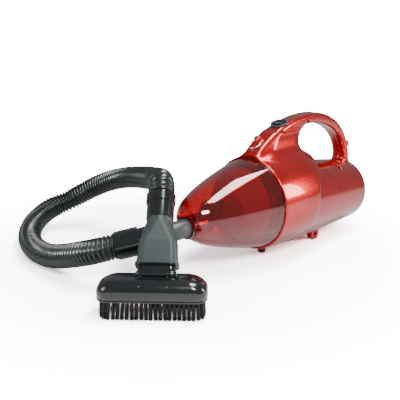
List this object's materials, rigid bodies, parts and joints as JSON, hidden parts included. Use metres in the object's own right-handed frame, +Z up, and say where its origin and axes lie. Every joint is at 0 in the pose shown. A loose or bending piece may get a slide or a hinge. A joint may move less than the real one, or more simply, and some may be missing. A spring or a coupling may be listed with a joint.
{
  "type": "handheld canister vacuum cleaner",
  "caption": "Compact handheld vacuum and blower: see-through dust cup on a glossy body with a loop handle, ribbed hose and flat brush tool.",
  "frame": {"origin": "on the floor, under the middle of the unit without its hose and tool", "axes": "+X runs forward through the nose of the dust cup, +Y is the left side, +Z is up"},
  "size_m": [0.5294, 0.424, 0.2005],
  "materials": {
    "cup_red": "gloss, see-through red",
    "body_red": "gloss, metallic red",
    "foot_red": "gloss, dark red",
    "black_gloss": "gloss",
    "black_matte": "matte",
    "dark_grey": "satin",
    "adapter_grey": "satin",
    "filter_white": "cloth",
    "rubber": "matte",
    "chrome": "polished",
    "steel": "machined",
    "iron": "laminated",
    "cast_alloy": "cast",
    "copper": "lacquered wire",
    "brass": "plain",
    "carbon": "matte",
    "bristle": "matte"
  },
  "bodies": {
    "housing": {"filter_frame": "black_matte", "filter_cloth": "filter_white", "cup_seal": "rubber", "intake_guard": "black_matte", "body_shell_left": "body_red", "body_shell_right": "body_red", "rear_cap": "body_red", "front_foot": "foot_red", "body_screws": "steel", "switch_bezel": "dark_grey", "switch_body": "black_matte", "cord_gland": "rubber", "switch_lead": "rubber", "fan_shroud": "black_matte", "front_motor_mount": "rubber", "rear_motor_mount": "rubber", "front_bracket": "cast_alloy", "rear_bracket": "cast_alloy", "front_bearing": "steel", "rear_bearing": "steel", "stator": "iron", "field_coils": "copper", "brush_holders": "brass", "carbon_brushes": "carbon"},
    "cup": {"dust_cup": "cup_red", "inlet_duct": "black_matte"},
    "flap": {"inlet_flap": "rubber"},
    "hose_set": {"hose_plug": "dark_grey", "hose_cuff": "black_gloss", "hose": "black_gloss", "tool_cuff": "black_gloss", "tool_pipe": "black_gloss", "flat_adapter": "adapter_grey", "brush_head": "black_gloss", "brush_rim": "rubber", "bristles": "bristle"},
    "rocker": {"switch_rocker": "black_gloss"},
    "ring": {"strap_ring": "chrome"},
    "rotor": {"motor_shaft": "steel", "armature": "iron", "armature_windings": "copper", "commutator": "brass", "impeller": "cast_alloy", "fan_nut": "brass"}
  },
  "joints": [
    {"name": "cup_pull", "type": "slide", "parent": "housing", "child": "cup", "axis": [1, 0, 0], "range_m": [0, 0.05]},
    {"name": "flap_swing", "type": "hinge", "parent": "cup", "child": "flap", "pos_m": [0.1272, 0, 0.0989], "axis": [0, -1, 0], "range_deg": [0, 40]},
    {"name": "plug_pull", "type": "slide", "parent": "cup", "child": "hose_set", "axis": [1, 0, 0], "range_m": [0, 0.03]},
    {"name": "switch_rock", "type": "hinge", "parent": "housing", "child": "rocker", "pos_m": [-0.00044, 0, 0.18909], "axis": [0, 1, 0], "range_deg": [0, 14]},
    {"name": "ring_swing", "type": "hinge", "parent": "housing", "child": "ring", "pos_m": [0.0475, 0, 0.17253], "axis": [0, 1, 0], "range_deg": [-150, 0]},
    {"name": "rotor_spin", "type": "hinge", "parent": "housing", "child": "rotor", "pos_m": [0, 0, 0.074], "axis": [1, 0, 0], "continuous": true}
  ]
}
